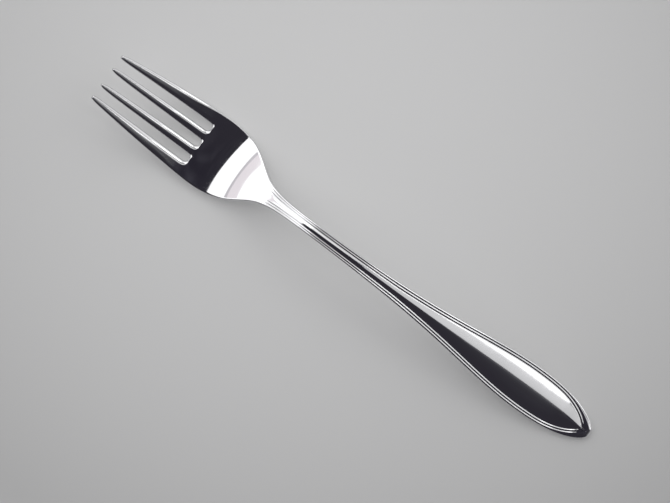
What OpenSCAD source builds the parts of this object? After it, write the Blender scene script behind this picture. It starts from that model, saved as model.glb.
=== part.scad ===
// Dinner fork, forged in one piece from a single blank of stainless steel. Its nodes are
// the parts of that one piece, and they meet face to face on flat cuts.
// It lies on the table as it is laid: tines towards +X, hollow of the head up.
// Origin: on the table, under the middle of the fork's length and width.

/* [Fork] */
// Length from the tips of the tines to the end of the handle, along the table
fork_l = 205; // [195:1:215]
// Height of the underside of the tine tips above the table
tip_rise = 17; // [13:0.5:20]
// Height of the underside of the arch behind the neck above the table
arch_rise = 15.6; // [11:0.2:18]

/* [Head] */
// Length from the tips of the tines to the narrowest part of the neck
head_l = 85; // [80:1:90]
// Width of the head at its widest
head_w = 26.4; // [24.5:0.1:28]
// Length of the tines, from the tips to the roots of the slots
tine_l = 37.8; // [36:0.2:43]
// Width of an inner tine at its root
tine_w = 3.6; // [3.3:0.1:3.9]
// Width of the slots between the tines at their roots
slot_w = 2.9; // [2.4:0.1:3.1]
// Width of each tine just behind its tip
tip_w = 1; // [0.8:0.05:1.4]
// Thickness of each tine just behind its tip
tip_t = 1.1; // [0.9:0.1:1.4]
// Thickness of the head at the roots of the slots
root_t = 2.2; // [1.9:0.1:2.6]
// Length over which a tine tip is rounded off
nose_l = 0.3; // [0.2:0.05:0.6]
// Distance over which the outer edge is rounded beside the tines
head_edge = 1.9; // [1.4:0.1:2.2]
// Distance over which the outer edge is rounded beside the bowl, where it is crisper
bowl_edge = 0.8; // [0.6:0.1:1.4]
// Distance over which the round end of each slot is rounded
slot_end_edge = 0.2; // [0.1:0.05:0.6]
// Rise of the dished head from its middle to its widest edge
dish_rise = 0.6; // [0:0.1:1]

/* [Handle] */
// Width of the neck at its narrowest
neck_w = 4.8; // [4.4:0.1:6]
// Thickness of the neck
neck_t = 3.3; // [2.8:0.1:4]
// Width of the handle at its widest
handle_w = 16.95; // [15:0.05:19]
// Thickness of the handle's rim near its end
rim_t = 1.9; // [1.6:0.1:2.4]
// Height of the middle ridge above the rim, where the handle is widest
ridge_h = 0.85; // [0.5:0.05:1.1]
// Half width of the soft top of the ridge, where the handle is widest
ridge_round = 1; // [0.6:0.1:1.6]
// Distance over which the underside's edge is rounded
under_edge = 1.5; // [1:0.1:2]

/* [Threads] */
// Width of the rounded rim outside the first groove
rim_w = 0.62; // [0.5:0.02:0.7]
// How much wider the rim is at the very end of the handle
end_rim = 1.8; // [1:0.1:2.2]
// Distance from one groove to the next
thread_pitch = 0.9; // [0.8:0.02:1]
// Width of each groove
groove_w = 0.76; // [0.6:0.02:0.8]
// Depth of each groove
groove_depth = 0.18; // [0.1:0.02:0.26]

/* [Hidden] */

handle_l = fork_l - head_l;
slot_r = slot_w / 2;
// The slots' round ends start here, and the outer slots' middle lines lie there.
slot_end = tine_l - slot_r;
inner_tine_y = slot_r + tine_w / 2;
outer_slot_y = slot_r + tine_w + slot_r;
outer_tine_y = outer_slot_y + slot_r;

// Points are rounded to this, so the patches of the skin share theirs exactly.
grain = 0.001;
// Rows of the handle whose half width is less than this are left out, for no slivers.
least_half = 0.1;

// Where the threads and the ridge fade in, as shares of the head's length.
thread_start_share = 0.76;
thread_full_share = 0.86;
ridge_start_share = 0.78;
ridge_full_share = 0.95;
// The threads lie closer together at the neck, by this share, and are fully apart once the
// handle has widened by the second share of all it widens.
neck_thread_share = 0.77;
threads_apart_share = 0.08;
// The rim widens towards the end from here, and the threads run out before the first of
// the other two, over the second, all as shares of the fork's length.
end_rim_start_share = 0.917;
threads_end_share = 0.987;
threads_run_out_share = 0.02;
// The facets beside the ridge steepen outwards by this share.
facet_bulge_share = 0.2;
// The outer edge changes from the tines' rounding to the bowl's between these shares of
// the head's length.
edge_change_start_share = 0.3;
edge_change_full_share = 0.5;
// The rounded sides of a slot give way to its crisp end between these shares of the way
// from the middle of the end to its side.
slot_end_share = 0.2;
slot_side_share = 1;
// The shoulder, where the rows of the head end and those of the handle start.
shoulder_share = 0.63;

// Roundness of an edge: 2 is an ellipse's, and more is squarer.
slot_square = 2.2;
edge_square = 4;
rim_square = 2.2;
under_square = 2.6;
// The handle's rim is a small round bead on a steep side.
rim_steep = 2.2;

// Outline of the head: place as a share of head_l, and half width as a share of the way
// from the neck's to the head's.
head_outline_shares = [
    [0, 0.606], [0.014, 0.644], [0.04, 0.68], [0.09, 0.73], [0.2, 0.839], [0.32, 0.927],
    [0.42, 0.984], [0.49, 1.006], [0.545, 0.992], [0.59, 0.933], [0.63, 0.843], [0.665, 0.72],
    [0.7, 0.552], [0.735, 0.362], [0.77, 0.2], [0.81, 0.102], [0.855, 0.036], [0.91, 0.01],
    [0.96, -0.002]
];
// Outline of the handle up to its widest part: place as a share of handle_l, and half
// width as a share of the way from the neck's to the handle's.
handle_outline_shares = [
    [0, -0.001], [0.04, 0.007], [0.1, 0.02], [0.17, 0.047], [0.24, 0.095], [0.31, 0.16],
    [0.38, 0.256], [0.44, 0.36], [0.5, 0.485], [0.56, 0.631], [0.62, 0.779], [0.68, 0.908],
    [0.735, 0.986]
];
// Outline of the handle's end: place as a share of handle_l, and half width as a share
// of the handle's.
end_outline_shares = [
    [0.785, 1.002], [0.83, 0.985], [0.87, 0.935], [0.905, 0.852], [0.935, 0.738],
    [0.96, 0.598], [0.979, 0.45], [0.992, 0.31], [0.999, 0.18], [1, 0.08], [1, 0]
];

// Side view of the tines and the bowl: place as a share of head_l, height of the
// underside as a share of tip_rise, and thickness as a share of the way from the tips'
// to the root's.
bowl_side_shares = [
    [0, 1, 0], [0.035, 0.885, 0.12], [0.09, 0.715, 0.28], [0.17, 0.488, 0.46],
    [0.26, 0.268, 0.64], [0.35, 0.116, 0.8], [0.43, 0.033, 0.92], [0.5, 0.004, 1],
    [0.545, -0.004, 1.02]
];
// Side view of the shoulder: the height is a share of arch_rise, and the thickness a
// share of the way from the root's to the neck's.
shoulder_side_shares = [
    [0.59, 0.017, 0.06], [0.635, 0.075, 0.15], [0.68, 0.176, 0.26], [0.73, 0.312, 0.4],
    [0.79, 0.487, 0.6], [0.86, 0.668, 0.82], [0.93, 0.805, 0.97], [1, 0.904, 1.02]
];
// Side view of the handle: place as a share of handle_l, height as a share of arch_rise,
// and thickness as a share of the way from the neck's to the rim's.
handle_side_shares = [
    [0.07, 0.98, 0.05], [0.15, 1.012, 0.15], [0.24, 0.99, 0.3], [0.34, 0.902, 0.48],
    [0.45, 0.758, 0.66], [0.56, 0.582, 0.8], [0.66, 0.404, 0.9], [0.75, 0.24, 0.96],
    [0.83, 0.1, 1], [0.88, 0.021, 1], [0.91, 0, 1], [0.935, 0, 1], [0.96, 0, 0.99],
    [0.98, 0, 0.97], [1, 0, 0.92]
];
// Dish of the head: place as a share of head_l, and how much of dish_rise is there. Below
// zero the shoulder is crowned instead.
dish_shares = [
    [0, 1], [0.3, 1], [0.5, 1], [0.56, 0.8], [0.62, 0.36], [0.67, -0.05], [0.715, -0.55],
    [0.76, -0.8], [0.82, -0.6], [0.9, -0.15], [0.96, 0], [1, 0]
];

// Half width of an inner tine: place as a share of the slot's straight length, and half
// width as a share of the way from the tip's to the root's.
tine_half_shares = [
    [0, -0.12], [0.01, 0.05], [0.035, 0.25], [0.09, 0.4], [0.2, 0.56], [0.42, 0.7],
    [0.7, 0.88], [0.9, 0.98], [1, 1], [1.1, 1]
];
// Inner edge of an outer tine: the same place, a share of the way from where that edge is
// at the root to where it is at the tip, and how far it bows in, as a share of slot_w.
outer_tine_edge_shares = [
    [0, 1, 0.03], [0.01, 0.95, 0.08], [0.035, 0.8, 0.12], [0.09, 0.6, 0.138],
    [0.2, 0.4, 0.12], [0.42, 0.2, 0.068], [0.7, 0.05, 0.012], [0.9, 0, -0.006], [1, 0, 0],
    [1.1, 0, 0]
];

// How finely the skin is drawn, in rows along and columns across. Rows crowd towards the
// tips and towards the slots' round ends.
tine_rows = 15;
root_rows = 12;
tine_crowding = 1.4;
root_crowding = 1.6;
rows_per_station = 2;
tine_columns = 8;
slot_columns = 4;
panel_columns = 4;
nose_row_shares = [0, 0.1, 0.4, 1];
rim_step_shares = [0, 0.08, 0.38, 1];
under_step_shares = [0, 0.06, 0.25, 0.6, 1];

function mix(a, b, share) = a + (b - a) * share;
function eased(share) =
    let (s = min(max(share, 0), 1)) s * s * (3 - 2 * s);

// A cubic B-spline through a list of stations. The ends are held by repeating them.
function held(stations) =
    let (first = stations[0], last = stations[len(stations) - 1])
    concat([first, first], stations, [last, last]);
function spline(p, at) =
    let (i = min(floor(at), len(p) - 4), f = at - i)
    [pow(1 - f, 3), 3 * f * f * f - 6 * f * f + 4, 1 + 3 * f + 3 * f * f - 3 * f * f * f, f * f * f]
    / 6 * [p[i], p[i + 1], p[i + 2], p[i + 3]];
function spline_rate(p, at) =
    let (i = min(floor(at), len(p) - 4), f = at - i)
    [-pow(1 - f, 2), 3 * f * f - 4 * f, 1 + 2 * f - 3 * f * f, f * f]
    / 2 * [p[i], p[i + 1], p[i + 2], p[i + 3]];
function last_station(p) = len(p) - 3;
// The spline's parameter at a place along the fork, by halving.
function found(p, place, low, high, halvings = 26) =
    halvings == 0 ? (low + high) / 2 :
    let (middle = (low + high) / 2)
    spline(p, middle)[0] < place ?
        found(p, place, middle, high, halvings - 1) :
        found(p, place, low, middle, halvings - 1);
function at_place(p, place) = found(p, place, 0, last_station(p));

outline = held(concat(
    [for (s = head_outline_shares) [head_l * s[0], mix(neck_w, head_w, s[1]) / 2]],
    [for (s = handle_outline_shares) [head_l + handle_l * s[0], mix(neck_w, handle_w, s[1]) / 2]],
    [for (s = end_outline_shares) [head_l + handle_l * s[0], handle_w * s[1] / 2]]
));
side = held(concat(
    [for (s = bowl_side_shares) [head_l * s[0], tip_rise * s[1], mix(tip_t, root_t, s[2])]],
    [for (s = shoulder_side_shares) [head_l * s[0], arch_rise * s[1], mix(root_t, neck_t, s[2])]],
    [for (s = handle_side_shares)
        [head_l + handle_l * s[0], arch_rise * s[1], mix(neck_t, rim_t, s[2])]]
));
dish = held([for (s = dish_shares) [head_l * s[0], dish_rise * s[1]]]);
inner_tine = held(
    [for (s = tine_half_shares) [slot_end * s[0], mix(tip_w, tine_w, s[1]) / 2]]);
outer_tip_y = mix(neck_w, head_w, head_outline_shares[0][1]) / 2 - tip_w;
outer_tine_edge = held(
    [for (s = outer_tine_edge_shares)
        [slot_end * s[0], mix(outer_tine_y, outer_tip_y, s[1]) - slot_w * s[2]]]);

function half_width(place) = spline(outline, at_place(outline, place))[1];
function dish_at(place) = place < head_l ? spline(dish, at_place(dish, place))[1] : 0;
function inner_tine_half(place) = spline(inner_tine, at_place(inner_tine, place))[1];
function outer_tine_inner(place) = spline(outer_tine_edge, at_place(outer_tine_edge, place))[1];
// Cosine of the outline's lean, which turns a distance across into one square to the edge.
function lean(place) =
    let (r = spline_rate(outline, at_place(outline, place))) r[0] / norm([r[0], r[1]]);

// Rise of a rounded edge from 0 at the edge to 1 at its full reach.
function lift(distance, reach, square, steep = 1) =
    distance < grain ? 0 :
    distance >= reach ? 1 :
    pow(1 - pow(1 - distance / reach, square), 1 / (square * steep));

// Changes from 0 to 1 between two shares of the head's length.
function faded(place, start_share, full_share) =
    eased((place / head_l - start_share) / (full_share - start_share));
function edge_reach(place) =
    mix(head_edge, bowl_edge, faded(place, edge_change_start_share, edge_change_full_share));
function edge_squareness(place) =
    mix(slot_square, edge_square, faded(place, edge_change_start_share, edge_change_full_share));

// A point of the skin: place along the fork, y across it, and height above the middle
// of the blank's thickness as a share of half that thickness, plus what stands on it.
function skin(place, y, share, extra = 0) =
    let (
        at = at_place(side, place),
        s = spline(side, at),
        r = spline_rate(side, at),
        slope = atan2(r[1] + r[2] / 2, r[0]),
        h = share * s[2] / 2 + extra,
        z = s[1] + s[2] / 2 + h * cos(slope) + dish_at(place) * pow(y / (head_w / 2), 2)
    )
    [for (c = [fork_l / 2 - place + h * sin(slope), y, z]) round(c / grain) * grain];

// Triangles between two rows of points, each row running from one edge to the other.
// Rows with different numbers of points are matched by how far across they are.
function lace(a, b) = len(a) == len(b) ? even_lace(a, b) : across_lace(a, b);
function even_lace(a, b) =
    [for (i = [0 : len(a) - 2]) each [[a[i], a[i + 1], b[i]], [b[i + 1], b[i], a[i + 1]]]];
function middles(row) =
    let (last = len(row) - 1, width = row[last][1] - row[0][1])
    [for (i = [0 : last - 1]) ((row[i][1] + row[i + 1][1]) / 2 - row[0][1]) / width];
function across_lace(a, b) =
    let (in_a = middles(a), in_b = middles(b))
    concat(
        [for (i = [0 : len(in_a) - 1])
            [a[i], a[i + 1], b[len([for (m = in_b) if (m < in_a[i]) m])]]],
        [for (j = [0 : len(in_b) - 1])
            [b[j + 1], b[j], a[len([for (m = in_a) if (m <= in_b[j]) m])]]]
    );
function laced(rows) = [for (i = [0 : len(rows) - 2]) each lace(rows[i], rows[i + 1])];
function turned(triangles) = [for (t = triangles) [t[2], t[1], t[0]]];
function is_real(t) = t[0] != t[1] && t[1] != t[2] && t[2] != t[0];
// A closed skin over rows that run from the tips' side to the handle's, with the same
// rows above and below. It starts, and mostly ends, in a flat cut, and where the first
// rows above and below are the same one, that cut has no face.
function closed_skin(top_rows, under_rows, end_is_cut = true) =
    let (last = len(top_rows) - 1)
    concat(
        turned(laced(top_rows)), laced(under_rows),
        lace(top_rows[0], under_rows[0]),
        end_is_cut ? lace(under_rows[last], top_rows[last]) : []);
module solid(triangles) {
    real = [for (t = triangles) if (is_real(t)) t];
    polyhedron(
        points = [for (t = real) each t],
        faces = [for (i = [0 : len(real) - 1]) [3 * i, 3 * i + 1, 3 * i + 2]],
        convexity = 8);
}

// Tines. A row runs across one tine, and a share of -1 or 1 is one of its edges.
function tine_share(i) = sin(90 * (2 * i / tine_columns - 1));
function tine_row(place, y_low, y_high, low_edge, low_square, high_edge, high_square, up) =
    let (half = (y_high - y_low) / 2)
    [for (i = [0 : tine_columns])
        let (y = (y_low + y_high) / 2 + half * tine_share(i))
        skin(place, y, up * lift(place, nose_l, edge_square)
            * lift(y - y_low, min(low_edge, half), low_square)
            * lift(y_high - y, min(high_edge, half), high_square))];
function inner_tine_row(place, up) =
    let (half = inner_tine_half(place))
    tine_row(place, inner_tine_y - half, inner_tine_y + half,
        tine_w / 2, slot_square, tine_w / 2, slot_square, up);
function outer_tine_row(place, up) =
    tine_row(place, outer_tine_inner(place), half_width(place),
        tine_w / 2, slot_square, edge_reach(place), edge_squareness(place), up);
tine_places = concat(
    [for (share = nose_row_shares) nose_l * share],
    [for (i = [1 : tine_rows - 1]) mix(nose_l, slot_end, pow(i / tine_rows, tine_crowding))]);
// The row at the very tip leaves out its two ends, so no sliver is left at the corners.
function trimmed(row) = [for (i = [1 : len(row) - 2]) row[i]];
function tine_rows_of(is_outer, up) = [
    for (i = [0 : len(tine_places)])
        let (
            place = i < len(tine_places) ? tine_places[i] : slot_end,
            row = is_outer ? outer_tine_row(place, up) : inner_tine_row(place, up)
        )
        i == 0 ? trimmed(row) : row
];
module tine(is_outer) {
    color("silver")
    solid(closed_skin(tine_rows_of(is_outer, 1), tine_rows_of(is_outer, -1)));
}

// Root of the head, from the slots' round ends to the shoulder. Each column is
// [share of the half width, how far the slot's round end pushes the first row back].
root_half_w = half_width(slot_end);
function slot_column(slot_y, share) =
    [(slot_y + slot_r * sin(90 * share)) / root_half_w, slot_r * cos(90 * share)];
function tine_column(y_low, y_high, i) =
    [mix(y_low, y_high, (1 + tine_share(i)) / 2) / root_half_w, 0];
half_columns = concat(
    [for (i = [0 : slot_columns - 1]) slot_column(0, i / slot_columns)],
    [for (i = [0 : tine_columns]) tine_column(slot_r, slot_r + tine_w, i)],
    [for (i = [1 - slot_columns : slot_columns - 1]) slot_column(outer_slot_y, i / slot_columns)],
    [for (i = [0 : tine_columns]) tine_column(outer_tine_y, root_half_w, i)]);
columns = concat(
    [for (i = [len(half_columns) - 1 : -1 : 1]) [-half_columns[i][0], half_columns[i][1]]],
    half_columns);
shoulder_place = head_l * shoulder_share;
function root_point(back, column, up) =
    let (
        base = slot_end + back,
        place = base + column[1] * (1 - back / (shoulder_place - slot_end)),
        y = column[0] * half_width(base),
        aside = abs(abs(y) - (abs(y) < outer_slot_y / 2 ? 0 : outer_slot_y)),
        away = norm([place - slot_end, aside]),
        is_side = eased((aside / away - slot_end_share) / (slot_side_share - slot_end_share)),
        slot_reach = mix(slot_end_edge, tine_w / 2, is_side),
        to_edge = (half_width(place) - abs(y)) * lean(place)
    )
    skin(place, y, up * lift(away - slot_r, slot_reach, slot_square)
        * lift(to_edge, edge_reach(place), edge_squareness(place)));
function root_row(back, up) = [for (c = columns) root_point(back, c, up)];
function root_backs() =
    [for (i = [0 : root_rows])
        (shoulder_place - slot_end) * pow(i / root_rows, root_crowding)];

// Handle. A row starts square to the outline, crosses the rim and the threads, and then
// runs straight over the panel to the middle.
groove_1 = rim_w + groove_w / 2;
groove_2 = groove_1 + thread_pitch;
panel_edge = groove_2 + groove_w / 4;
top_steps = concat(
    [for (share = rim_step_shares) rim_w * share],
    [groove_1 - groove_w / 4, groove_1, groove_1 + groove_w / 4, (groove_1 + groove_2) / 2],
    [groove_2 - groove_w / 4, groove_2, panel_edge]);
under_steps = [for (share = under_step_shares) under_edge * share];

function groove(distance, middle) =
    let (s = abs(distance - middle) / (groove_w / 2)) s >= 1 ? 0 : (1 + cos(180 * s)) / 2;
function ridge(y, edge_y) =
    let (
        panel_half = handle_w / 2 - panel_edge,
        soft = ridge_round * edge_y / panel_half,
        out = norm([y, soft]),
        bulge = 1 + facet_bulge_share * out / panel_half
    )
    ridge_h / panel_half * (norm([edge_y, soft]) - out) * bulge;

// A point on the handle's top, at a distance from the outline and a distance y from the
// middle line, where the panel is edge_y wide on each side.
function top_point(place, y, distance, closer, wider, edge_y) =
    let (
        threads = faded(place, thread_start_share, thread_full_share),
        run_out = eased((threads_end_share - place / fork_l) / threads_run_out_share),
        d = (distance - wider) / closer,
        edge = mix(edge_reach(place), rim_w * closer + wider, threads),
        square = mix(edge_square, rim_square, threads),
        cut = groove_depth * threads * run_out * (groove(d, groove_1) + groove(d, groove_2)),
        rise = abs(y) < edge_y ?
            faded(place, ridge_start_share, ridge_full_share) * ridge(abs(y), edge_y) : 0
    )
    skin(place, y, lift(distance, edge, square, mix(1, rim_steep, threads)), rise - cut);
function under_point(place, y, distance) =
    let (smooth = faded(place, shoulder_share, thread_full_share))
    skin(place, y, -lift(distance, mix(edge_reach(place), under_edge, smooth),
        mix(edge_square, under_square, smooth)));

// Half of a row: points on the square line in from the outline, which stops at the
// middle line, and then the panel. At the neck the row is straight, for the flat cut.
function closeness(half) =
    let (widened = (half - neck_w / 2) / (handle_w - neck_w))
    mix(neck_thread_share, 1, min(max(widened / threads_apart_share, 0), 1));
function rim_widening(place) =
    let (s = (place / fork_l - end_rim_start_share) / (1 - end_rim_start_share))
    end_rim * pow(max(s, 0), 2);
function half_row(at, steps, inner_columns, is_top) =
    let (
        o = spline(outline, at),
        r = spline_rate(outline, at),
        is_end = o[1] < grain,
        n = is_end ? [-1, 0] : at == neck_station ? [0, -1] : [r[1], -r[0]] / norm([r[0], r[1]]),
        to_middle = is_end ? handle_w / 2 : -o[1] / n[1],
        closer = closeness(o[1]),
        wider = is_top ? rim_widening(o[0]) : 0,
        depths = [for (s = steps) min(s * closer + wider * pow(min(s / rim_w, 1), 2), to_middle)],
        depth = depths[len(depths) - 1],
        edge = [o[0], o[1]] + n * depth
    )
    concat(
        [for (d = depths)
            let (p = [o[0], o[1]] + n * d)
            is_top ? top_point(p[0], p[1], d, closer, wider, edge[1]) : under_point(p[0], p[1], d)],
        [for (i = [1 : inner_columns])
            let (y = edge[1] * (1 - i / inner_columns))
            is_top ? top_point(edge[0], y, depth + edge[1] - y, closer, wider, edge[1])
                : under_point(edge[0], y, depth + edge[1] - y)]
    );
function mirrored(p) = [p[0], -p[1], p[2]];
function handle_row(at, steps, inner_columns, is_top) =
    let (half = half_row(at, steps, inner_columns, is_top))
    concat([for (p = half) mirrored(p)], [for (i = [len(half) - 2 : -1 : 0]) half[i]]);
function stations(first, last) = [for (i = [first * rows_per_station : last * rows_per_station])
    i / rows_per_station];
function handle_rows(first, last, up) = [
    for (at = stations(first, last))
        if (at == last || spline(outline, at)[1] > least_half)
            up > 0 ? handle_row(at, top_steps, panel_columns, true)
                : handle_row(at, under_steps, 1, false)
];
shoulder_station = ceil(at_place(outline, shoulder_place) + 1 / rows_per_station);
neck_station = len(head_outline_shares);

function head_rows(up) = concat(
    [for (back = root_backs()) root_row(back, up)],
    handle_rows(shoulder_station, neck_station, up));

module head() {
    color("silver")
    solid(closed_skin(head_rows(1), head_rows(-1)));
}

module handle() {
    color("silver")
    solid(closed_skin(
        handle_rows(neck_station, last_station(outline), 1),
        handle_rows(neck_station, last_station(outline), -1),
        end_is_cut = false));
}

mirror([0, 1, 0]) tine(is_outer = true);  // tine_1
mirror([0, 1, 0]) tine(is_outer = false);  // tine_2
tine(is_outer = false);  // tine_3
tine(is_outer = true);  // tine_4
head();
handle();
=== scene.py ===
import math

import bpy
import numpy as np
from mathutils import Matrix, Vector


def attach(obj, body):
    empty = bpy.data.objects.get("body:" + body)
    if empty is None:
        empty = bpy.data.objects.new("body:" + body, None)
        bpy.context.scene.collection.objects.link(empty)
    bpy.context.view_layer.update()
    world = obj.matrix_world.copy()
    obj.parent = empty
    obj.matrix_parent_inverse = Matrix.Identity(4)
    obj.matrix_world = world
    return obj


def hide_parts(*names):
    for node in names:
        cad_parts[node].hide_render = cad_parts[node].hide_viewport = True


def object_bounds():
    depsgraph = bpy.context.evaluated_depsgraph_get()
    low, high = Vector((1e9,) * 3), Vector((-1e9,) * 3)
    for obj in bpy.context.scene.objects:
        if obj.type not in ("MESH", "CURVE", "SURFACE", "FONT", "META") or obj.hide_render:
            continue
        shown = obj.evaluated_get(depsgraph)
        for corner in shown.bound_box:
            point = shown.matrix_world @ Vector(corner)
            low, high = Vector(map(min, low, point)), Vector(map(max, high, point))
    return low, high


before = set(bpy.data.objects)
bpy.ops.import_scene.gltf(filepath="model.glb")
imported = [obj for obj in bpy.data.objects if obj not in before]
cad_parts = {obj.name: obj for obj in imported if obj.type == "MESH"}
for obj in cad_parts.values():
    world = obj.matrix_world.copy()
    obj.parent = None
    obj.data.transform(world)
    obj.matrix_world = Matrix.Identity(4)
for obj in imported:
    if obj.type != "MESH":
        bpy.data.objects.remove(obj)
cad_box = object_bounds()

# A dinner fork, lying on a table as it is laid. Lengths are in millimetres until the mesh
# is made, and places are measured along the fork from the tips of its tines.
MM = 0.001

# Sizes of the fork.
FORK_L = 205.0
TIP_RISE = 17.0
ARCH_RISE = 15.6
HEAD_L = 85.0
HEAD_W = 26.4
TINE_L = 37.8
TINE_W = 3.6
SLOT_W = 2.9
TIP_W = 1.0
TIP_T = 1.1
ROOT_T = 2.2
NOSE_L = 0.3
HEAD_EDGE = 1.9
BOWL_EDGE = 0.8
SLOT_END_EDGE = 0.2
DISH_RISE = 0.6
NECK_W = 4.8
NECK_T = 3.3
HANDLE_W = 16.95
RIM_T = 1.9
RIDGE_H = 0.85
RIDGE_ROUND = 1.0
UNDER_EDGE = 1.5
RIM_W = 0.62
END_RIM = 1.8
THREAD_PITCH = 0.9
GROOVE_W = 0.76
GROOVE_DEPTH = 0.18

HANDLE_L = FORK_L - HEAD_L
SLOT_R = SLOT_W / 2
# The slots' round ends start here, and the outer slots' middle lines lie there.
SLOT_END = TINE_L - SLOT_R
INNER_TINE_Y = SLOT_R + TINE_W / 2
OUTER_SLOT_Y = SLOT_R + TINE_W + SLOT_R
OUTER_TINE_Y = OUTER_SLOT_Y + SLOT_R
# Inwards from the handle's edge lie the rim, the two grooves and the panel with its facets.
GROOVE_1 = RIM_W + GROOVE_W / 2
GROOVE_2 = GROOVE_1 + THREAD_PITCH
PANEL_EDGE = GROOVE_2 + GROOVE_W / 2

# Where the threads and the ridge fade in, as shares of the head's length.
THREAD_START_SHARE = 0.76
THREAD_FULL_SHARE = 0.86
RIDGE_START_SHARE = 0.78
RIDGE_FULL_SHARE = 0.95
# The threads lie closer together at the neck, by this share. They are fully apart once each
# side has widened by the second share of all that the handle widens.
NECK_THREAD_SHARE = 0.77
THREADS_APART_SHARE = 0.08
# The rim widens towards the end from here, and the threads run out before the first of the
# other two, over the second, all as shares of the fork's length.
END_RIM_START_SHARE = 0.917
THREADS_END_SHARE = 0.987
THREADS_RUN_OUT_SHARE = 0.02
# The facets beside the ridge steepen outwards by this share.
FACET_BULGE_SHARE = 0.2
# The outer edge changes from the tines' rounding to the bowl's between these shares of the
# head's length.
EDGE_CHANGE_START_SHARE = 0.3
EDGE_CHANGE_FULL_SHARE = 0.5
# The rounded sides of a slot give way to its crisp end between these shares of the way from
# the middle of the end to its side.
SLOT_END_SHARE = 0.2
SLOT_SIDE_SHARE = 1
# The shoulder, where the rows of the head end and those of the handle start.
SHOULDER_SHARE = 0.63
SHOULDER = SHOULDER_SHARE * HEAD_L

# Roundness of an edge: 2 is an ellipse's, and more is squarer.
SLOT_SQUARE = 2.2
EDGE_SQUARE = 4.0
RIM_SQUARE = 2.2
UNDER_SQUARE = 2.6
# The handle's rim is a small round bead on a steep side.
RIM_STEEP = 2.2

# Outline of the head: place as a share of HEAD_L, half width as a share of the way from
# the neck's to the head's.
HEAD_OUTLINE_SHARES = (
    (0, 0.606), (0.014, 0.644), (0.04, 0.68), (0.09, 0.73), (0.2, 0.839), (0.32, 0.927),
    (0.42, 0.984), (0.49, 1.006), (0.545, 0.992), (0.59, 0.933), (0.63, 0.843), (0.665, 0.72),
    (0.7, 0.552), (0.735, 0.362), (0.77, 0.2), (0.81, 0.102), (0.855, 0.036), (0.91, 0.01),
    (0.96, -0.002),
)
# Outline of the handle up to its widest part: place as a share of HANDLE_L, half width as
# a share of the way from the neck's to the handle's.
HANDLE_OUTLINE_SHARES = (
    (0, -0.001), (0.04, 0.007), (0.1, 0.02), (0.17, 0.047), (0.24, 0.095), (0.31, 0.16),
    (0.38, 0.256), (0.44, 0.36), (0.5, 0.485), (0.56, 0.631), (0.62, 0.779), (0.68, 0.908),
    (0.735, 0.986),
)
# Outline of the handle's end: half width as a share of the handle's.
END_OUTLINE_SHARES = (
    (0.785, 1.002), (0.83, 0.985), (0.87, 0.935), (0.905, 0.852), (0.935, 0.738),
    (0.96, 0.598), (0.979, 0.45), (0.992, 0.31), (0.999, 0.18), (1, 0.08), (1, 0),
)
# Side view, in three stretches: place, height of the underside and thickness, as shares of
# HEAD_L or HANDLE_L, of TIP_RISE or ARCH_RISE, and of the way between two thicknesses.
BOWL_SIDE_SHARES = (
    (0, 1, 0), (0.035, 0.885, 0.12), (0.09, 0.715, 0.28), (0.17, 0.488, 0.46),
    (0.26, 0.268, 0.64), (0.35, 0.116, 0.8), (0.43, 0.033, 0.92), (0.5, 0.004, 1),
    (0.545, -0.004, 1.02),
)
SHOULDER_SIDE_SHARES = (
    (0.59, 0.017, 0.06), (0.635, 0.075, 0.15), (0.68, 0.176, 0.26), (0.73, 0.312, 0.4),
    (0.79, 0.487, 0.6), (0.86, 0.668, 0.82), (0.93, 0.805, 0.97), (1, 0.904, 1.02),
)
HANDLE_SIDE_SHARES = (
    (0.07, 0.98, 0.05), (0.15, 1.012, 0.15), (0.24, 0.99, 0.3), (0.34, 0.902, 0.48),
    (0.45, 0.758, 0.66), (0.56, 0.582, 0.8), (0.66, 0.404, 0.9), (0.75, 0.24, 0.96),
    (0.83, 0.1, 1), (0.88, 0.021, 1), (0.91, 0, 1), (0.935, 0, 1), (0.96, 0, 0.99),
    (0.98, 0, 0.97), (1, 0, 0.92),
)
# Dish across the head: place as a share of HEAD_L, and rise of the edges as a share of
# DISH_RISE. It turns into a crown at the shoulder, where the rise is negative.
DISH_SHARES = (
    (0, 1), (0.3, 1), (0.5, 1), (0.56, 0.8), (0.62, 0.36), (0.67, -0.05), (0.715, -0.55),
    (0.76, -0.8), (0.82, -0.6), (0.9, -0.15), (0.96, 0), (1, 0),
)
# Inner tine: place as a share of SLOT_END, and half width as a share of the way from the
# tip's to the root's.
TINE_HALF_SHARES = (
    (0, -0.12), (0.01, 0.05), (0.035, 0.25), (0.09, 0.4), (0.2, 0.56), (0.42, 0.7),
    (0.7, 0.88), (0.9, 0.98), (1, 1), (1.1, 1),
)
# Inner edge of an outer tine: place as a share of SLOT_END, how far it has moved from the
# root's to the tip's, and how far it bows into the gap, as a share of SLOT_W.
OUTER_TINE_EDGE_SHARES = (
    (0, 1, 0.03), (0.01, 0.95, 0.08), (0.035, 0.8, 0.12), (0.09, 0.6, 0.138),
    (0.2, 0.4, 0.12), (0.42, 0.2, 0.068), (0.7, 0.05, 0.012), (0.9, 0, -0.006), (1, 0, 0),
    (1.1, 0, 0),
)


def mix(a, b, share):
    return a + (b - a) * share


def eased(share):
    s = np.clip(share, 0, 1)
    return s * s * (3 - 2 * s)


# How finely a curve is sampled from station to station, how often a place on it is refined,
# and the least rate along the fork at which that is done.
SAMPLES_PER_STATION = 60
REFINEMENTS = 4
LEAST_RATE = 1e-6


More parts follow.
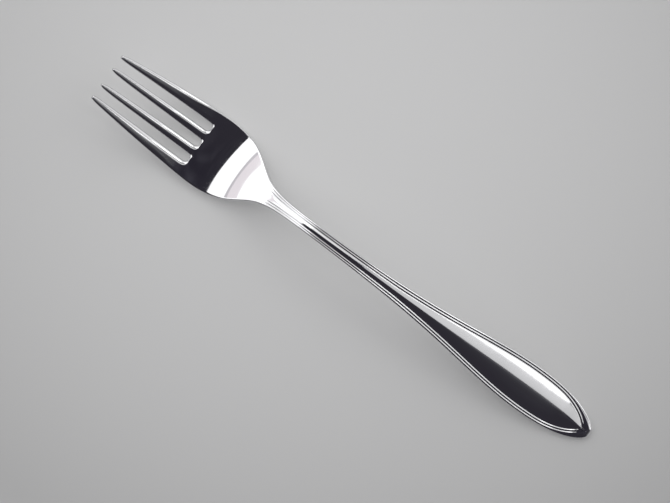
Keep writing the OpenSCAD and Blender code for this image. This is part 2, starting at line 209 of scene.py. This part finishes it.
class Curve:
    """A cubic B-spline that follows the given stations and is held at both ends."""

    def __init__(self, stations):
        rows = [stations[0]] * 2 + list(stations) + [stations[-1]] * 2
        self.p = np.array(rows, float)
        self.last = len(rows) - 3
        self.ts = np.linspace(0, self.last, SAMPLES_PER_STATION * self.last + 1)
        self.xs = self.at(self.ts)[:, 0]

    def _mixed(self, t, weights):
        t = np.asarray(t, float)
        i = np.minimum(np.floor(t).astype(int), self.last - 1)
        w = weights(t - i)
        return sum(w[k][..., None] * self.p[i + k] for k in range(4))

    def at(self, t):
        return self._mixed(t, lambda f: (
            (1 - f) ** 3 / 6, (3 * f**3 - 6 * f**2 + 4) / 6,
            (1 + 3 * f + 3 * f**2 - 3 * f**3) / 6, f**3 / 6))

    def rate(self, t):
        return self._mixed(t, lambda f: (
            -(1 - f) ** 2 / 2, (3 * f**2 - 4 * f) / 2, (1 + 2 * f - 3 * f**2) / 2, f**2 / 2))

    def where(self, place):
        """The parameter at a place, from the nearest sample and a few Newton steps."""
        place = np.asarray(place, float)
        t = np.interp(place, self.xs, self.ts)
        for _ in range(REFINEMENTS):
            r = self.rate(t)[..., 0]
            off = (self.at(t)[..., 0] - place) / np.maximum(r, LEAST_RATE)
            t = np.clip(t - np.where(r > LEAST_RATE, off, 0), 0, self.last)
        return t


outline = Curve(
    [(HEAD_L * s, mix(NECK_W, HEAD_W, w) / 2) for s, w in HEAD_OUTLINE_SHARES]
    + [(HEAD_L + HANDLE_L * s, mix(NECK_W, HANDLE_W, w) / 2) for s, w in HANDLE_OUTLINE_SHARES]
    + [(HEAD_L + HANDLE_L * s, HANDLE_W * w / 2) for s, w in END_OUTLINE_SHARES])
side = Curve(
    [(HEAD_L * s, TIP_RISE * z, mix(TIP_T, ROOT_T, t)) for s, z, t in BOWL_SIDE_SHARES]
    + [(HEAD_L * s, ARCH_RISE * z, mix(ROOT_T, NECK_T, t)) for s, z, t in SHOULDER_SIDE_SHARES]
    + [(HEAD_L + HANDLE_L * s, ARCH_RISE * z, mix(NECK_T, RIM_T, t))
       for s, z, t in HANDLE_SIDE_SHARES])
dish = Curve([(HEAD_L * s, DISH_RISE * rise) for s, rise in DISH_SHARES])
inner_tine = Curve([(SLOT_END * s, mix(TIP_W, TINE_W, w) / 2) for s, w in TINE_HALF_SHARES])
OUTER_TIP_Y = mix(NECK_W, HEAD_W, HEAD_OUTLINE_SHARES[0][1]) / 2 - TIP_W
outer_tine_edge = Curve(
    [(SLOT_END * s, mix(OUTER_TINE_Y, OUTER_TIP_Y, w) - SLOT_W * bow)
     for s, w, bow in OUTER_TINE_EDGE_SHARES])


def value_at(curve, place):
    return curve.at(curve.where(place))[..., 1]


def lift(distance, reach, square, steep=1):
    """Rise of a rounded edge, from 0 at the edge to 1 at its full reach."""
    s = np.clip(distance / reach, 0, 1)
    return (1 - (1 - s) ** square) ** (1 / (square * steep))


def skin(place, y, share, extra=0.0):
    """Points of the skin, at a share of half the thickness above the blank's middle."""
    t = side.where(place)
    s, r = side.at(t), side.rate(t)
    slope = np.arctan2(r[..., 1] + r[..., 2] / 2, r[..., 0])
    h = share * s[..., 2] / 2 + extra
    x = FORK_L / 2 - place + h * np.sin(slope)
    z = s[..., 1] + s[..., 2] / 2 + h * np.cos(slope)
    z = z + value_at(dish, place) * (y / (HEAD_W / 2)) ** 2
    return np.stack(np.broadcast_arrays(x, y, z), -1)


def faded(place, start_share, full_share):
    """How far a form has faded in between two shares of the head's length."""
    return eased((place / HEAD_L - start_share) / (full_share - start_share))


def edge_change(place):
    """How far the outer edge has changed from the tines' rounding to the bowl's."""
    return faded(place, EDGE_CHANGE_START_SHARE, EDGE_CHANGE_FULL_SHARE)


def edge_reach(place):
    """How far in the outer edge is rounded: less at the bowl than on the tines."""
    return mix(HEAD_EDGE, BOWL_EDGE, edge_change(place))


def edge_square(place):
    """The tines' outer edge is round, and the bowl's is squarer."""
    return mix(SLOT_SQUARE, EDGE_SQUARE, edge_change(place))


# The mesh has columns across the fork and rows along it. The rows crowd towards the tips and
# towards the slots' ends by these powers.
TINE_COLUMNS = 28
SLOT_COLUMNS = 14
RIM_COLUMNS = 9
THREAD_COLUMNS = 28
PANEL_COLUMNS = 26
UNDER_EDGE_COLUMNS = 13
UNDER_PANEL_COLUMNS = 14
NOSE_ROWS = 8
TINE_ROWS = 120
TINE_CROWDING = 1.25
ROOT_ROWS = 50
ROOT_CROWDING = 1.5
HANDLE_ROWS_PER_STATION = 8
# The handle's first row lies at least this many parts of a station behind the head's last.
FIRST_ROW_PARTS = 4
PARTS_PER_STATION = 12
# Distances under this, in millimetres or stations, are rounding.
TOUCHING = 1e-9
# The way to the fork's middle is measured along an edge's inward direction, which is taken
# to slant at least this much towards the middle.
LEAST_SLANT = 1e-3


def across(count):
    """Shares from -1 to 1, crowded towards both edges."""
    return np.sin(np.linspace(-math.pi / 2, math.pi / 2, count + 1))


def rounded_steps(reach, count):
    """Distances from 0 to a reach, crowded at 0, where a rounded edge is steep."""
    return reach * (1 - np.cos(np.linspace(0, math.pi / 2, count + 1)))


def tine_rows(is_outer, up):
    """Rows of a tine at positive y, from its tip to the slots' ends."""
    places = np.concatenate((
        rounded_steps(NOSE_L, NOSE_ROWS)[:-1],
        mix(NOSE_L, SLOT_END, np.linspace(0, 1, TINE_ROWS) ** TINE_CROWDING)))
    if is_outer:
        low, high = value_at(outer_tine_edge, places), value_at(outline, places)
    else:
        half = value_at(inner_tine, places)
        low, high = INNER_TINE_Y - half, INNER_TINE_Y + half
    half = (high - low) / 2
    y = (low + half)[:, None] + half[:, None] * across(TINE_COLUMNS)
    nose = lift(places, NOSE_L, EDGE_SQUARE)
    reach = np.minimum(TINE_W / 2, half)[:, None]
    rise = nose[:, None] * lift(y - low[:, None], reach, SLOT_SQUARE)
    if is_outer:
        reach = np.minimum(edge_reach(places), half)[:, None]
        rise = rise * lift(high[:, None] - y, reach, edge_square(places)[:, None])
    else:
        rise = rise * lift(high[:, None] - y, reach, SLOT_SQUARE)
    return skin(places[:, None], y, up * rise)


# The head's outline as a line of this many points, measured for this many points at once.
OUTLINE_POINTS = 1500
POINTS_AT_ONCE = 2000


def outline_distance(place, y):
    """Distance from points of the head to its outer edge."""
    t = np.linspace(0, outline.where(HEAD_L), OUTLINE_POINTS)
    line = outline.at(t)[:, :2]
    a, ab = line[:-1], np.diff(line, axis=0)
    p = np.stack((place.ravel(), np.abs(y).ravel()), -1)
    out = []
    for part in np.array_split(p, max(1, len(p) // POINTS_AT_ONCE)):
        ap = part[:, None] - a
        k = np.clip((ap * ab).sum(-1) / (ab * ab).sum(-1), 0, 1)
        out.append(np.linalg.norm(ap - k[..., None] * ab, axis=-1).min(1))
    return np.concatenate(out).reshape(y.shape)


def root_rows(up):
    """Rows of the head, from the tines' roots and the slots' round ends to the shoulder."""
    root_half = float(value_at(outline, SLOT_END))
    arc = np.linspace(-1, 1, 2 * SLOT_COLUMNS + 1) * math.pi / 2
    steps = (1 + across(TINE_COLUMNS)) / 2

    def slot(y, angles):
        return [(y + SLOT_R * math.sin(a), SLOT_R * math.cos(a)) for a in angles]

    def tine(low, high):
        return [(mix(low, high, s), 0.0) for s in steps]

    half = (slot(0, arc[SLOT_COLUMNS:-1]) + tine(SLOT_R, SLOT_R + TINE_W)
            + slot(OUTER_SLOT_Y, arc[1:-1]) + tine(OUTER_TINE_Y, root_half))
    columns = np.array([(-y, b) for y, b in half[:0:-1]] + half)
    back = np.linspace(0, 1, ROOT_ROWS)[:, None] ** ROOT_CROWDING
    base = SLOT_END + back * (SHOULDER - SLOT_END)
    place = base + columns[:, 1] * (1 - back)
    y = columns[:, 0] / root_half * value_at(outline, base)
    behind = place - SLOT_END
    aside = np.where(np.abs(y) < OUTER_SLOT_Y / 2, np.abs(y), np.abs(np.abs(y) - OUTER_SLOT_Y))
    away = np.hypot(behind, aside)
    side_share = (aside / away - SLOT_END_SHARE) / (SLOT_SIDE_SHARE - SLOT_END_SHARE)
    slot_reach = mix(SLOT_END_EDGE, TINE_W / 2, eased(side_share))
    # Points on an edge lie on it exactly, so that the upper and the lower skin meet there.
    to_slot = away - SLOT_R
    to_slot[np.abs(to_slot) < TOUCHING] = 0
    to_edge = outline_distance(place, y)
    to_edge[:, (0, -1)] = 0
    rise = lift(to_slot, slot_reach, SLOT_SQUARE)
    rise = rise * lift(to_edge, edge_reach(place), edge_square(place))
    return skin(place, y, up * rise)


def groove(distance, middle):
    """Depth of a groove, from 0 at its sides to 1 in its middle."""
    s = np.minimum(np.abs(distance - middle) / (GROOVE_W / 2), 1)
    return (1 + np.cos(math.pi * s)) / 2


def ridge(y, edge_y):
    """Height of the soft middle ridge and its two facets above the panel's edge."""
    panel_half = HANDLE_W / 2 - PANEL_EDGE
    soft = RIDGE_ROUND * edge_y / panel_half
    out = np.hypot(y, soft)
    bulge = 1 + FACET_BULGE_SHARE * out / panel_half
    return RIDGE_H / panel_half * (np.hypot(edge_y, soft) - out) * bulge


def handle_rows(up):
    """Rows from behind the shoulder to the handle's end. Their columns follow the outline
    inwards to the panel's edge, and cross the panel at even shares."""
    shoulder = float(outline.where(SHOULDER))
    first = math.ceil(shoulder * PARTS_PER_STATION + FIRST_ROW_PARTS) / PARTS_PER_STATION
    t = np.arange(first, outline.last - TOUCHING, 1 / HANDLE_ROWS_PER_STATION)
    t = np.append(t, outline.last)
    edge = outline.at(t)[:, :2]
    rate = outline.rate(t)[:, :2]
    length = np.maximum(np.linalg.norm(rate, axis=1), TOUCHING)
    inward = np.stack((rate[:, 1], -rate[:, 0]), -1) / length[:, None]
    inward[-1] = (-1, 0)
    to_middle = edge[:, 1] / np.maximum(-inward[:, 1], LEAST_SLANT)
    to_middle[-1] = HANDLE_W / 2
    widened = (edge[:, 1] - NECK_W / 2) / (HANDLE_W - NECK_W)
    closer = mix(NECK_THREAD_SHARE, 1, np.clip(widened / THREADS_APART_SHARE, 0, 1))[:, None]
    near_end = (edge[:, :1] / FORK_L - END_RIM_START_SHARE) / (1 - END_RIM_START_SHARE)
    wider = END_RIM * np.clip(near_end, 0, 1) ** 2
    if up > 0:
        rim = rounded_steps(RIM_W, RIM_COLUMNS)[:-1]
        steps = np.concatenate((rim, np.linspace(RIM_W, PANEL_EDGE, THREAD_COLUMNS + 1)))
        shift = np.minimum(steps / RIM_W, 1) ** 2
        steps = steps * closer + shift * wider
        panel = PANEL_COLUMNS
    else:
        steps = rounded_steps(UNDER_EDGE, UNDER_EDGE_COLUMNS) * closer
        panel = UNDER_PANEL_COLUMNS
    depth = np.minimum(steps, to_middle[:, None])
    place = edge[:, :1] + inward[:, :1] * depth
    y = edge[:, 1:] + inward[:, 1:] * depth
    edge_y = y[:, -1:]
    shares = np.linspace(1, 0, panel + 1)[1:]
    place = np.hstack((place, np.repeat(place[:, -1:], panel, 1)))
    distance = np.hstack((depth, depth[:, -1:] + edge_y * (1 - shares)))
    y = np.hstack((y, edge_y * shares))
    if up > 0:
        threads = faded(place, THREAD_START_SHARE, THREAD_FULL_SHARE)
        square = mix(EDGE_SQUARE, RIM_SQUARE, threads)
        reach = mix(edge_reach(place), RIM_W * closer + wider, threads)
        # The grooves' own distance, as it is where the rim is narrow and the threads apart.
        own = (distance - wider) / closer
        left = eased((THREADS_END_SHARE - place / FORK_L) / THREADS_RUN_OUT_SHARE)
        cut = GROOVE_DEPTH * threads * left * (groove(own, GROOVE_1) + groove(own, GROOVE_2))
        ridge_share = faded(place, RIDGE_START_SHARE, RIDGE_FULL_SHARE)
        rise = np.where(y < edge_y, ridge_share * ridge(y, edge_y), 0)
        steep = mix(1, RIM_STEEP, threads)
        rows = skin(place, y, lift(distance, reach, square, steep), rise - cut)
    else:
        smooth = faded(place, SHOULDER_SHARE, THREAD_FULL_SHARE)
        reach = mix(edge_reach(place), UNDER_EDGE, smooth)
        rows = skin(place, y, -lift(distance, reach, mix(EDGE_SQUARE, UNDER_SQUARE, smooth)))
    # The rows run from the edge at negative y over the middle to the edge at positive y.
    return np.concatenate((rows * (1, -1, 1), rows[:, -2::-1]), 1)


class Sheet:
    """Collects rows of points and the faces between them."""

    def __init__(self):
        self.points = []
        self.faces = []
        self.count = 0

    def add(self, rows):
        n, m = rows.shape[:2]
        index = self.count + np.arange(n * m).reshape(n, m)
        self.points.append(rows.reshape(-1, 3))
        self.count += n * m
        return index

    def grid(self, rows, up):
        index = self.add(rows)
        a, b = index[:-1, :-1].ravel(), index[:-1, 1:].ravel()
        c, d = index[1:, 1:].ravel(), index[1:, :-1].ravel()
        quads = (d, c, b, a) if up > 0 else (a, b, c, d)
        self.faces += np.stack(quads, -1).tolist()
        return index

    def lace(self, a, b, up):
        """Triangles between two rows with different numbers of points."""
        points = np.concatenate(self.points)

        def middles(row):
            y = points[row, 1]
            return ((y[1:] + y[:-1]) / 2 - y[0]) / (y[-1] - y[0])

        in_a, in_b = middles(a), middles(b)
        found = [(a[i], a[i + 1], b[int((in_b < m).sum())]) for i, m in enumerate(in_a)]
        found += [(b[j + 1], b[j], a[int((in_a <= m).sum())]) for j, m in enumerate(in_b)]
        self.faces += [f[::-1] if up > 0 else f for f in found]


# Points that round to the same step are one point.
WELD_STEPS_PER_MM = 2e4


def fork_mesh():
    """The whole skin: four tines, the head and the handle, above and below."""
    sheet = Sheet()
    for up in (1, -1):
        for is_outer in (False, True):
            rows = tine_rows(is_outer, up)
            sheet.grid(rows, up)
            sheet.grid((rows * (1, -1, 1))[:, ::-1], up)
        root = sheet.grid(root_rows(up), up)
        handle = sheet.grid(handle_rows(up), up)
        sheet.lace(root[-1], handle[0], up)
    # Some points would lie a few thousandths of a millimetre outside the CAD model's box.
    low, high = (np.array(corner) / MM for corner in cad_box)
    points = np.clip(np.concatenate(sheet.points), low, high)
    # Points that two patches share become one, and faces that close up are dropped.
    keys = np.round(points * WELD_STEPS_PER_MM).astype(np.int64)
    _, first, same = np.unique(keys, axis=0, return_index=True, return_inverse=True)
    same = same.ravel()
    faces = []
    for face in sheet.faces:
        ring = []
        for i in face:
            if same[i] not in ring:
                ring.append(int(same[i]))
        if len(ring) > 2:
            faces.append(ring)
    mesh = bpy.data.meshes.new("fork")
    mesh.from_pydata((points[first] * MM).tolist(), [], faces)
    mesh.validate()
    mesh.polygons.foreach_set("use_smooth", [True] * len(mesh.polygons))
    mesh.update()
    return mesh


def colour(hex_value):
    """A linear colour from an sRGB hex value."""
    parts = [int(hex_value[i:i + 2], 16) / 255 for i in (1, 3, 5)]
    return [c / 12.92 if c <= 0.04045 else ((c + 0.055) / 1.055) ** 2.4 for c in parts] + [1]


def node(tree, kind, links=None, **settings):
    """Adds a node, sets its properties and sockets, and links sockets to others."""
    new = tree.nodes.new(kind)
    for name, value in settings.items():
        setattr(new, name, value)
    for name, value in (links or {}).items():
        socket = new.inputs[name]
        if isinstance(value, bpy.types.NodeSocket):
            tree.links.new(value, socket)
        else:
            socket.default_value = value
    return new


# Sockets of a Mix node that mixes colours. They go by number, because its sockets for other
# values have the same names. A Math node's sockets all share one name and go by number too.
SHARE, COLOUR_A, COLOUR_B, MIXED = 0, 6, 7, 2


def noise(tree, place, size_mm, detail=2.0, stretch=(1, 1, 1)):
    """Cloudy noise with patches of a real size, drawn out along the fork if stretched."""
    scale = node(tree, "ShaderNodeMapping", {
        "Vector": place, "Scale": [k / (size_mm * MM) for k in stretch]})
    return node(tree, "ShaderNodeTexNoise", {
        "Vector": scale.outputs["Vector"], "Scale": 1.0, "Detail": detail}).outputs["Fac"]


def spread(tree, value, low, high, to_low, to_high):
    """Spreads a value's range over another one and holds it at both ends."""
    return node(tree, "ShaderNodeMapRange", {
        "Value": value, "From Min": low, "From Max": high, "To Min": to_low, "To Max": to_high,
    }, clamp=True).outputs["Result"]


# The steel's finish. Sizes are in millimetres. Smears and hairlines are drawn out along the
# fork, and the smears show where their noise lies in this range. The steel is brushed from the
# tips to this share of the way to the slots' ends, and from there it passes into the mirror.
SMEAR_SIZE = 9
SMEAR_STRETCH = (1, 2.2, 1)
SMEAR_CONTRAST = (0.45, 0.75)
SMEAR_ROUGHNESS = 0.05
MIRROR_ROUGHNESS = 0.05
BRUSHED_ROUGHNESS = 0.12
BRUSHED_SHARE = 0.6
HAIRLINE_W = 0.12
HAIRLINE_STRETCH = (0.02, 1, 1)
HAIRLINE_DEPTH = 0.01
TONE_SIZE = 14


def polished_stainless_steel():
    """Buffed to a mirror on the bowl and the handle. Between the tines only a brush reaches,
    so they are softer. Wiping has left faint smears and hairlines along the fork, which blur
    what the steel mirrors a little, here more and there less."""
    material = bpy.data.materials.new("polished_stainless_steel")
    material.use_nodes = True
    tree = material.node_tree
    tree.nodes.clear()
    place = node(tree, "ShaderNodeTexCoord").outputs["Object"]
    along = node(tree, "ShaderNodeSeparateXYZ", {"Vector": place}).outputs["X"]
    smears = noise(tree, place, SMEAR_SIZE, detail=3.0, stretch=SMEAR_STRETCH)
    smears = spread(tree, smears, *SMEAR_CONTRAST, 0, SMEAR_ROUGHNESS)
    slots_end_x = (FORK_L / 2 - SLOT_END) * MM
    brushed_x = (FORK_L / 2 - SLOT_END * BRUSHED_SHARE) * MM
    brushed = spread(tree, along, slots_end_x, brushed_x, MIRROR_ROUGHNESS, BRUSHED_ROUGHNESS)
    roughness = node(tree, "ShaderNodeMath", {0: smears, 1: brushed}, operation="ADD")
    hairlines = noise(tree, place, HAIRLINE_W, detail=1.0, stretch=HAIRLINE_STRETCH)
    relief = node(tree, "ShaderNodeBump", {
        "Height": hairlines, "Strength": 0.02, "Distance": HAIRLINE_DEPTH * MM})
    tone = node(tree, "ShaderNodeMix", {
        SHARE: noise(tree, place, TONE_SIZE), COLOUR_A: colour("#d9d9db"),
        COLOUR_B: colour("#e5e5e6")}, data_type="RGBA").outputs[MIXED]
    shader = node(tree, "ShaderNodeBsdfPrincipled", {
        "Base Color": tone, "Metallic": 1.0, "Roughness": roughness.outputs["Value"],
        "Normal": relief.outputs["Normal"]})
    node(tree, "ShaderNodeOutputMaterial", {"Surface": shader.outputs["BSDF"]})
    return material


fork = bpy.data.objects.new("fork", fork_mesh())
bpy.context.scene.collection.objects.link(fork)
fork.data.materials.append(polished_stainless_steel())
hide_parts("tine_1", "tine_2", "tine_3", "tine_4", "head", "handle")
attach(fork, "root")


# The middle of the light painted into the floor's colour, how far from it the painted light
# has fallen off to the darker tone, and the power by which it does.
FLOOR_PAINTED_LIGHT_MIDDLE = (25.0, -35.0, 0.0)
FLOOR_FALL_OFF = 170.0
FLOOR_POWER = 2.0
# How much of the floor's paleness is a painted glow, and how light that glow is.
FLOOR_GLOW_SHARE = 0.3
FLOOR_GLOW_LEVEL = 0.8
# Half the floor's side, in metres, so that its edges are out of sight.
FLOOR_HALF = 3


def pale_floor():
    """A smooth matt sheet. Its colour is painted palest beside the fork's neck and a little
    darker
    away from it: a painted fall-off of the light, as over the real one."""
    material = bpy.data.materials.new("pale_floor")
    material.use_nodes = True
    tree = material.node_tree
    tree.nodes.clear()
    place = node(tree, "ShaderNodeTexCoord").outputs["Object"]
    away = node(tree, "ShaderNodeVectorMath", {0: place, 1: Vector(FLOOR_PAINTED_LIGHT_MIDDLE) * MM},
                operation="DISTANCE").outputs["Value"]
    fall_off = spread(tree, away, 0, FLOOR_FALL_OFF * MM, 0, 1)
    fall_off = node(tree, "ShaderNodeMath", {0: fall_off, 1: FLOOR_POWER},
                    operation="POWER").outputs["Value"]
    # Painted light: the floor's colour is palest near one spot and darker further off, as the
    # light falls off.
    tone = node(tree, "ShaderNodeMix", {
        SHARE: fall_off, COLOUR_A: colour("#e1e1e1"), COLOUR_B: colour("#c2c2c2")},
        data_type="RGBA").outputs[MIXED]
    shader = node(tree, "ShaderNodeBsdfPrincipled", {"Base Color": tone, "Roughness": 0.7})
    # A part of the sheet's paleness is a painted glow that doesn't hang on the lamps,
    # so its shadows stay open.
    own = node(tree, "ShaderNodeEmission", {"Color": tone, "Strength": FLOOR_GLOW_LEVEL})
    ray = node(tree, "ShaderNodeLightPath").outputs
    shown = node(tree, "ShaderNodeMath", {
        0: ray["Is Camera Ray"], 1: ray["Is Glossy Ray"]}, operation="MAXIMUM")
    shown = node(tree, "ShaderNodeMath", {
        0: shown.outputs["Value"], 1: ray["Is Transmission Ray"]}, operation="MAXIMUM")
    share = node(tree, "ShaderNodeMath", {
        0: shown.outputs["Value"], 1: FLOOR_GLOW_SHARE}, operation="MULTIPLY")
    mixed = node(tree, "ShaderNodeMixShader", {
        0: share.outputs["Value"], 1: shader.outputs["BSDF"], 2: own.outputs["Emission"]})
    node(tree, "ShaderNodeOutputMaterial", {"Surface": mixed.outputs["Shader"]})
    return material


floor_mesh = bpy.data.meshes.new("floor")
floor_mesh.from_pydata([
    (-FLOOR_HALF, -FLOOR_HALF, 0), (FLOOR_HALF, -FLOOR_HALF, 0),
    (FLOOR_HALF, FLOOR_HALF, 0), (-FLOOR_HALF, FLOOR_HALF, 0)], [], [(0, 1, 2, 3)])
floor = bpy.data.objects.new("floor", floor_mesh)
bpy.context.scene.collection.objects.link(floor)
floor.data.materials.append(pale_floor())

# The room is dark overhead, and the steel mirrors it dark. It pales towards the horizon, where
# the steel's steep edges look. Each row is an angle from straight up, in degrees, and a shade.
ROOM_ROWS = [(0, "#2b2932"), (12, "#2f2d36"), (20, "#363539"), (28, "#3c3b40"), (36, "#49494d"),
             (50, "#747476"), (62, "#8c8c8e"), (75, "#a5a5a5"), (90, "#b4b4b4")]
HORIZON = 90
# Large soft patches of the room are mixed with a paler shade, by up to this share, and show
# where their noise lies in this range.
PATCH_SHARE = 0.3
PATCH_CONTRAST = (0.48, 0.72)
# The side that the fork's edges at tine_4 mirror is dark down to the table. The dark starts
# where a direction leans towards this side by the first share, and is full at the second.
DARK_SIDE = Vector((0.2, 0.98, 0))
DARK_START_SHARE = -0.1
DARK_FULL_SHARE = 0.2
# The opposite side is bright, but not overhead: the light starts and is full at these angles
# from straight up. Going round, it grows by this power, and it is full where a direction leans
# towards this side by this share.
BRIGHT_SIDE = Vector((0, -1, 0))
BRIGHT_START = math.radians(15)
BRIGHT_FULL = math.radians(52)
BRIGHT_POWER = 1.4
BRIGHT_FULL_SHARE = 0.8


def dim_room():
    """The room that the steel mirrors, as a world: dark overhead and on one side, bright on
    the other, and a little uneven."""
    world = bpy.data.worlds.new("studio")
    world.use_nodes = True
    tree = world.node_tree
    tree.nodes.clear()
    toward = node(tree, "ShaderNodeTexCoord").outputs["Generated"]
    up_share = node(tree, "ShaderNodeSeparateXYZ", {"Vector": toward}).outputs["Z"]
    from_top = node(tree, "ShaderNodeMath", {0: up_share},
                    operation="ARCCOSINE").outputs["Value"]
    down_share = node(tree, "ShaderNodeMath", {0: from_top, 1: math.pi / 2},
                      operation="DIVIDE").outputs["Value"]
    ramp = node(tree, "ShaderNodeValToRGB", {"Fac": down_share})
    while len(ramp.color_ramp.elements) < len(ROOM_ROWS):
        ramp.color_ramp.elements.new(0.5)
    for stop, (degrees, shade) in zip(ramp.color_ramp.elements, ROOM_ROWS):
        stop.position = degrees / HORIZON
        stop.color = colour(shade)

    patches = node(tree, "ShaderNodeTexNoise", {
        "Vector": toward, "Scale": 7.0, "Detail": 3.0, "Distortion": 0.6}).outputs["Fac"]
    uneven = node(tree, "ShaderNodeMix", {
        SHARE: spread(tree, patches, *PATCH_CONTRAST, 0, PATCH_SHARE),
        COLOUR_A: ramp.outputs["Color"], COLOUR_B: colour("#6c6b74")},
        data_type="RGBA").outputs[MIXED]

    near_share = node(tree, "ShaderNodeVectorMath", {0: toward, 1: DARK_SIDE},
                      operation="DOT_PRODUCT").outputs["Value"]
    dark = spread(tree, near_share, DARK_START_SHARE, DARK_FULL_SHARE, 0, 1)
    near_shade = node(tree, "ShaderNodeMix", {
        SHARE: dark, COLOUR_A: uneven, COLOUR_B: colour("#333138")},
        data_type="RGBA").outputs[MIXED]

    # The direction laid level, so that the bright side is measured by the way round alone.
    level = node(tree, "ShaderNodeVectorMath", {0: toward, 1: Vector((1, 1, 0))},
                 operation="MULTIPLY").outputs["Vector"]
    level = node(tree, "ShaderNodeVectorMath", {0: level},
                 operation="NORMALIZE").outputs["Vector"]
    far_share = node(tree, "ShaderNodeVectorMath", {0: level, 1: BRIGHT_SIDE},
                     operation="DOT_PRODUCT").outputs["Value"]
    round_share = spread(tree, far_share, 0, BRIGHT_FULL_SHARE, 0, 1)
    round_share = node(tree, "ShaderNodeMath", {0: round_share, 1: BRIGHT_POWER},
                       operation="POWER").outputs["Value"]
    low_share = spread(tree, from_top, BRIGHT_START, BRIGHT_FULL, 0, 1)
    bright = node(tree, "ShaderNodeMath", {0: round_share, 1: low_share},
                  operation="MULTIPLY").outputs["Value"]
    shade = node(tree, "ShaderNodeMix", {
        SHARE: bright, COLOUR_A: near_shade, COLOUR_B: colour("#ffffff")},
        data_type="RGBA").outputs[MIXED]
    background = node(tree, "ShaderNodeBackground", {"Color": shade, "Strength": 1.0})
    node(tree, "ShaderNodeOutputWorld", {"Surface": background.outputs["Background"]})
    return world


bpy.context.scene.world = dim_room()


def softbox(name, middle, size, radiance, tint="#ffffff", turned=0.0):
    """A level sheet of light that faces straight down at the table."""
    lamp = bpy.data.lights.new(name, "AREA")
    lamp.shape = "RECTANGLE"
    lamp.size, lamp.size_y = size[0] * MM, size[1] * MM
    lamp.energy = math.pi * lamp.size * lamp.size_y * radiance
    lamp.color = colour(tint)[:3]
    box = bpy.data.objects.new(name, lamp)
    bpy.context.scene.collection.objects.link(box)
    box.location = Vector(middle) * MM
    box.rotation_euler = (0, 0, turned)
    box.visible_camera = False


# The softboxes hang over the table beyond the tines, where the shoulder and the neck mirror
# them, and beside the fork, where the threads and a facet do. Those named wall stand in for
# the pale walls between and behind them.
LAMP_HEIGHT = 700.0
softbox("softbox_over_tines", (517, -600, LAMP_HEIGHT), (505, 1200), 1.4)
softbox("softbox_over_tines_near", (600, 350, LAMP_HEIGHT), (340, 700), 1.4)
softbox("softbox_over_tines_corner", (417, 130, LAMP_HEIGHT), (150, 372), 1.4, turned=-0.4825)
softbox("softbox_frame", (810, 50, LAMP_HEIGHT), (80, 120), 0.7, "#f6f2f6")
softbox("wall_over_tines", (975, 50, LAMP_HEIGHT), (250, 120), 1.02, "#fbf4f7")
softbox("wall_beside", (935, 455, LAMP_HEIGHT), (330, 690), 1.4)
softbox("wall_far_beside", (935, -355, LAMP_HEIGHT), (330, 690), 1.4)
softbox("bright_end_wall", (1700, 0, LAMP_HEIGHT), (1200, 1600), 1.4)
softbox("softbox_fringe", (-350, -155, LAMP_HEIGHT), (540, 106), 0.58)
softbox("softbox_beside_handle", (-628, -258, LAMP_HEIGHT), (535, 85), 1.7, turned=0.1)
softbox("softbox_far_beside", (-275, -690, LAMP_HEIGHT), (350, 480), 1.6)
softbox("softbox_beside_neck", (90, -189, LAMP_HEIGHT), (630, 90), 0.95, turned=0.1)

# The camera looks almost straight down, from a little to the side of the fork's tine_1. The
# fork lies slantwise in the picture, with its tines towards the picture's upper left.
CAMERA_FAR = 900.0
CAMERA_SENSOR = 36
CAMERA_LENS = 140.1
CAMERA_LEAN = math.radians(2.14)
CAMERA_TURN = math.radians(-143.33)
AIM = Vector((5.29, 2.02, 0))
camera_data = bpy.data.cameras.new("camera")
camera_data.sensor_width = CAMERA_SENSOR
camera_data.lens = CAMERA_LENS
camera = bpy.data.objects.new("camera", camera_data)
bpy.context.scene.collection.objects.link(camera)
back = Vector((0, -math.sin(CAMERA_LEAN), math.cos(CAMERA_LEAN)))
right = Vector((math.cos(CAMERA_TURN), math.sin(CAMERA_TURN), 0))
right = (right - back * right.dot(back)).normalized()
camera.rotation_euler = Matrix((right, back.cross(right), back)).transposed().to_euler()
camera.location = (AIM + back * CAMERA_FAR) * MM
bpy.context.scene.camera = camera

bpy.context.scene.view_settings.view_transform = "Standard"
